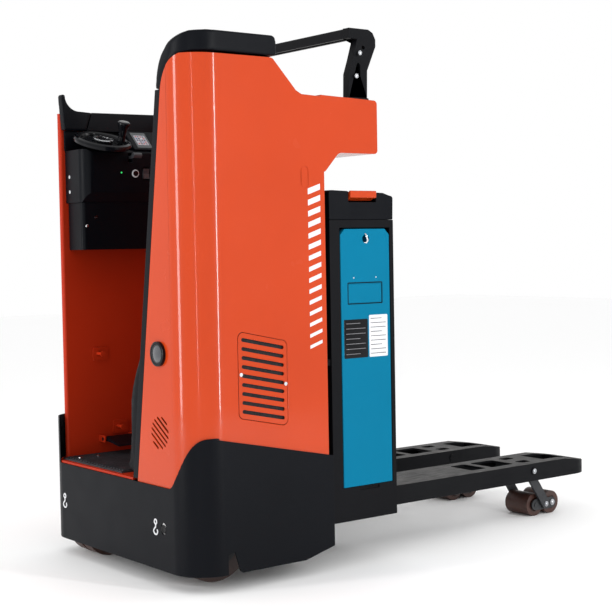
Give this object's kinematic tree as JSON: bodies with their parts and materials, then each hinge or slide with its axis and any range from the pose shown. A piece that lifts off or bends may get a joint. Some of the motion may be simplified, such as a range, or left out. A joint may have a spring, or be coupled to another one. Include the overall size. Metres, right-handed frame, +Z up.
{
  "type": "electric pallet truck",
  "caption": "Stand-on pallet truck: tall side tower, open rear step with console and steering wheel, upright battery, and raised forks on load rollers.",
  "frame": {"origin": "on the floor, at the middle of the overall length and width", "axes": "+X towards the fork tips, +Y away from the tower, +Z up"},
  "size_m": [1.651, 0.79, 1.503],
  "materials": {
    "orange": "glossy powder coat",
    "orange_cover": "glossy painted cover",
    "black_cover": "fine grained moulded plastic",
    "black_gloss": "smooth moulded plastic",
    "black_steel": "satin black paint",
    "fork_steel": "worn black paint",
    "grey_steel": "machined",
    "bright_steel": "plated",
    "cast": "cast and painted",
    "pad": "soft foam pad with a smooth skin",
    "mat": "ribbed rubber",
    "tread": "brown polyurethane",
    "teal": "satin paint",
    "screen": "dark display glass",
    "switch": "moulded",
    "aluminium": "cast"
  },
  "bodies": {
    "tractor": {"chassis_frame": "black_steel", "skirt": "black_cover", "floor_plate": "orange", "floor_mat": "mat", "far_wall": "orange", "front_wall": "orange", "front_hood": "orange", "tower_cover": "orange_cover", "tower_cap": "black_cover", "backrest_shell": "black_cover", "backrest_pad": "pad", "leg_pad": "pad", "vent_panel": "orange_cover", "rear_lamp": "black_gloss", "guard_rail": "black_cover", "grab_horn": "black_cover", "console_housing": "black_cover", "console_base": "black_cover", "display_housing": "black_cover", "display_screen": "screen", "wall_brackets": "orange", "accessory_frame": "black_steel", "cover_screws": "bright_steel", "caster_plate": "grey_steel", "drive_bearing": "grey_steel", "hydraulic_unit": "cast", "motor_controller": "aluminium", "lift_cylinder": "cast"},
    "steering": {"steering_wheel": "black_gloss", "steering_shaft": "grey_steel"},
    "knob": {"spinner_knob": "black_gloss"},
    "button": {"start_button": "black_gloss"},
    "rocker": {"rocker_switch": "switch"},
    "lever": {"lift_lever": "switch"},
    "pedal": {"deadman_pedal": "black_cover"},
    "caster_swivel": {"caster_fork": "cast"},
    "caster_in": {"caster_wheel_inner": "tread"},
    "caster_out": {"caster_wheel_outer": "tread"},
    "steered_drive": {"drive_gearbox": "cast", "drive_motor": "cast"},
    "drive_wheel": {"drive_hub": "cast", "drive_tyre": "tread"},
    "load": {"load_frame": "black_steel", "lift_rod": "bright_steel", "battery_lid": "black_cover", "fork_near": "fork_steel", "fork_far": "fork_steel"},
    "battery": {"battery_case": "teal"},
    "latch": {"battery_latch": "orange_cover"},
    "flap": {"charging_flap": "teal"},
    "rod_near": {"push_rod_near": "grey_steel"},
    "rod_far": {"push_rod_far": "grey_steel"},
    "load_arm_near": {"arm_near": "cast"},
    "load_arm_far": {"arm_far": "cast"},
    "bogie_near": {"bogie_near": "cast"},
    "bogie_far": {"bogie_far": "cast"},
    "roller_nr": {"roller_near_rear": "tread"},
    "roller_nf": {"roller_near_front": "tread"},
    "roller_fr": {"roller_far_rear": "tread"},
    "roller_ff": {"roller_far_front": "tread"}
  },
  "joints": [
    {"name": "lift", "type": "slide", "parent": "tractor", "child": "load", "axis": [0, 0, 1], "range_m": [-0.1, 0.01]},
    {"name": "battery_slide", "type": "slide", "parent": "load", "child": "battery", "axis": [0, -1, 0], "range_m": [0, 0.7]},
    {"name": "latch_swing", "type": "hinge", "parent": "load", "child": "latch", "pos_m": [-0.233, -0.353, 1.027], "axis": [-1, 0, 0], "range_deg": [0, 55]},
    {"name": "flap_swing", "type": "hinge", "parent": "battery", "child": "flap", "pos_m": [-0.23, -0.3744, 0.789], "axis": [-1, 0, 0], "range_deg": [0, 100]},
    {"name": "drive_steer", "type": "hinge", "parent": "tractor", "child": "steered_drive", "pos_m": [-0.675, -0.23, 0.3], "axis": [0, 0, 1], "range_deg": [-90, 90]},
    {"name": "drive_spin", "type": "hinge", "parent": "steered_drive", "child": "drive_wheel", "pos_m": [-0.675, -0.23, 0.115], "axis": [0, 1, 0], "continuous": true},
    {"name": "caster_swivel", "type": "hinge", "parent": "tractor", "child": "caster_swivel", "pos_m": [-0.7, 0.262, 0.2], "axis": [0, 0, 1], "continuous": true},
    {"name": "caster_in_spin", "type": "hinge", "parent": "caster_swivel", "child": "caster_in", "pos_m": [-0.73, 0.2345, 0.075], "axis": [0, 1, 0], "continuous": true},
    {"name": "caster_out_spin", "type": "hinge", "parent": "caster_swivel", "child": "caster_out", "pos_m": [-0.73, 0.2895, 0.075], "axis": [0, 1, 0], "continuous": true},
    {"name": "steering_turn", "type": "hinge", "parent": "tractor", "child": "steering", "pos_m": [-0.703, 0.246, 1.214], "axis": [0, -0.342, 0.9397], "range_deg": [-450, 450]},
    {"name": "knob_spin", "type": "hinge", "parent": "steering", "child": "knob", "pos_m": [-0.653, 0.22721, 1.20716], "axis": [0, -0.342, 0.9397], "continuous": true},
    {"name": "button_press", "type": "slide", "parent": "tractor", "child": "button", "axis": [0, 1, 0], "range_m": [0, 0.003], "stiffness_N_per_m": 600},
    {"name": "rocker_tilt", "type": "hinge", "parent": "tractor", "child": "rocker", "pos_m": [-0.568, 0.234, 1.121], "axis": [1, 0, 0], "range_deg": [-7, 7]},
    {"name": "lever_tilt", "type": "hinge", "parent": "tractor", "child": "lever", "pos_m": [-0.62, 0.24, 1.168], "axis": [1, 0, 0], "range_deg": [-12, 12], "stiffness_Nm_per_rad": 2},
    {"name": "pedal_press", "type": "hinge", "parent": "tractor", "child": "pedal", "pos_m": [-0.63, 0.321, 0.326], "axis": [1, 0, 0], "range_deg": [0, 8], "stiffness_Nm_per_rad": 40},
    {"name": "rod_near_push", "type": "slide", "parent": "load", "child": "rod_near", "axis": [1, 0, 0], "range_m": [-0.003, 0.0265]},
    {"name": "arm_near_swing", "type": "hinge", "parent": "load", "child": "load_arm_near", "pos_m": [0.553, -0.189, 0.158], "axis": [0, 1, 0], "range_deg": [-48, 5]},
    {"name": "bogie_near_tilt", "type": "hinge", "parent": "load_arm_near", "child": "bogie_near", "pos_m": [0.637, -0.189, 0.037], "axis": [0, 1, 0], "range_deg": [-5, 48]},
    {"name": "roller_near_rear_spin", "type": "hinge", "parent": "bogie_near", "child": "roller_nr", "pos_m": [0.599, -0.189, 0.037], "axis": [0, 1, 0], "continuous": true},
    {"name": "roller_near_front_spin", "type": "hinge", "parent": "bogie_near", "child": "roller_nf", "pos_m": [0.675, -0.189, 0.037], "axis": [0, 1, 0], "continuous": true},
    {"name": "rod_far_push", "type": "slide", "parent": "load", "child": "rod_far", "axis": [1, 0, 0], "range_m": [-0.003, 0.0265]},
    {"name": "arm_far_swing", "type": "hinge", "parent": "load", "child": "load_arm_far", "pos_m": [0.553, 0.189, 0.158], "axis": [0, 1, 0], "range_deg": [-48, 5]},
    {"name": "bogie_far_tilt", "type": "hinge", "parent": "load_arm_far", "child": "bogie_far", "pos_m": [0.637, 0.189, 0.037], "axis": [0, 1, 0], "range_deg": [-5, 48]},
    {"name": "roller_far_rear_spin", "type": "hinge", "parent": "bogie_far", "child": "roller_fr", "pos_m": [0.599, 0.189, 0.037], "axis": [0, 1, 0], "continuous": true},
    {"name": "roller_far_front_spin", "type": "hinge", "parent": "bogie_far", "child": "roller_ff", "pos_m": [0.675, 0.189, 0.037], "axis": [0, 1, 0], "continuous": true}
  ],
  "couplings": [
    {"joint": "steering_turn", "follows": "drive_steer", "ratio": 5},
    {"joint": "rod_near_push", "follows": "lift", "ratio": -0.262},
    {"joint": "arm_near_swing", "follows": "lift", "rad_per_m": 8.203},
    {"joint": "bogie_near_tilt", "follows": "lift", "rad_per_m": -8.203},
    {"joint": "rod_far_push", "follows": "lift", "ratio": -0.262},
    {"joint": "arm_far_swing", "follows": "lift", "rad_per_m": 8.203},
    {"joint": "bogie_far_tilt", "follows": "lift", "rad_per_m": -8.203}
  ]
}
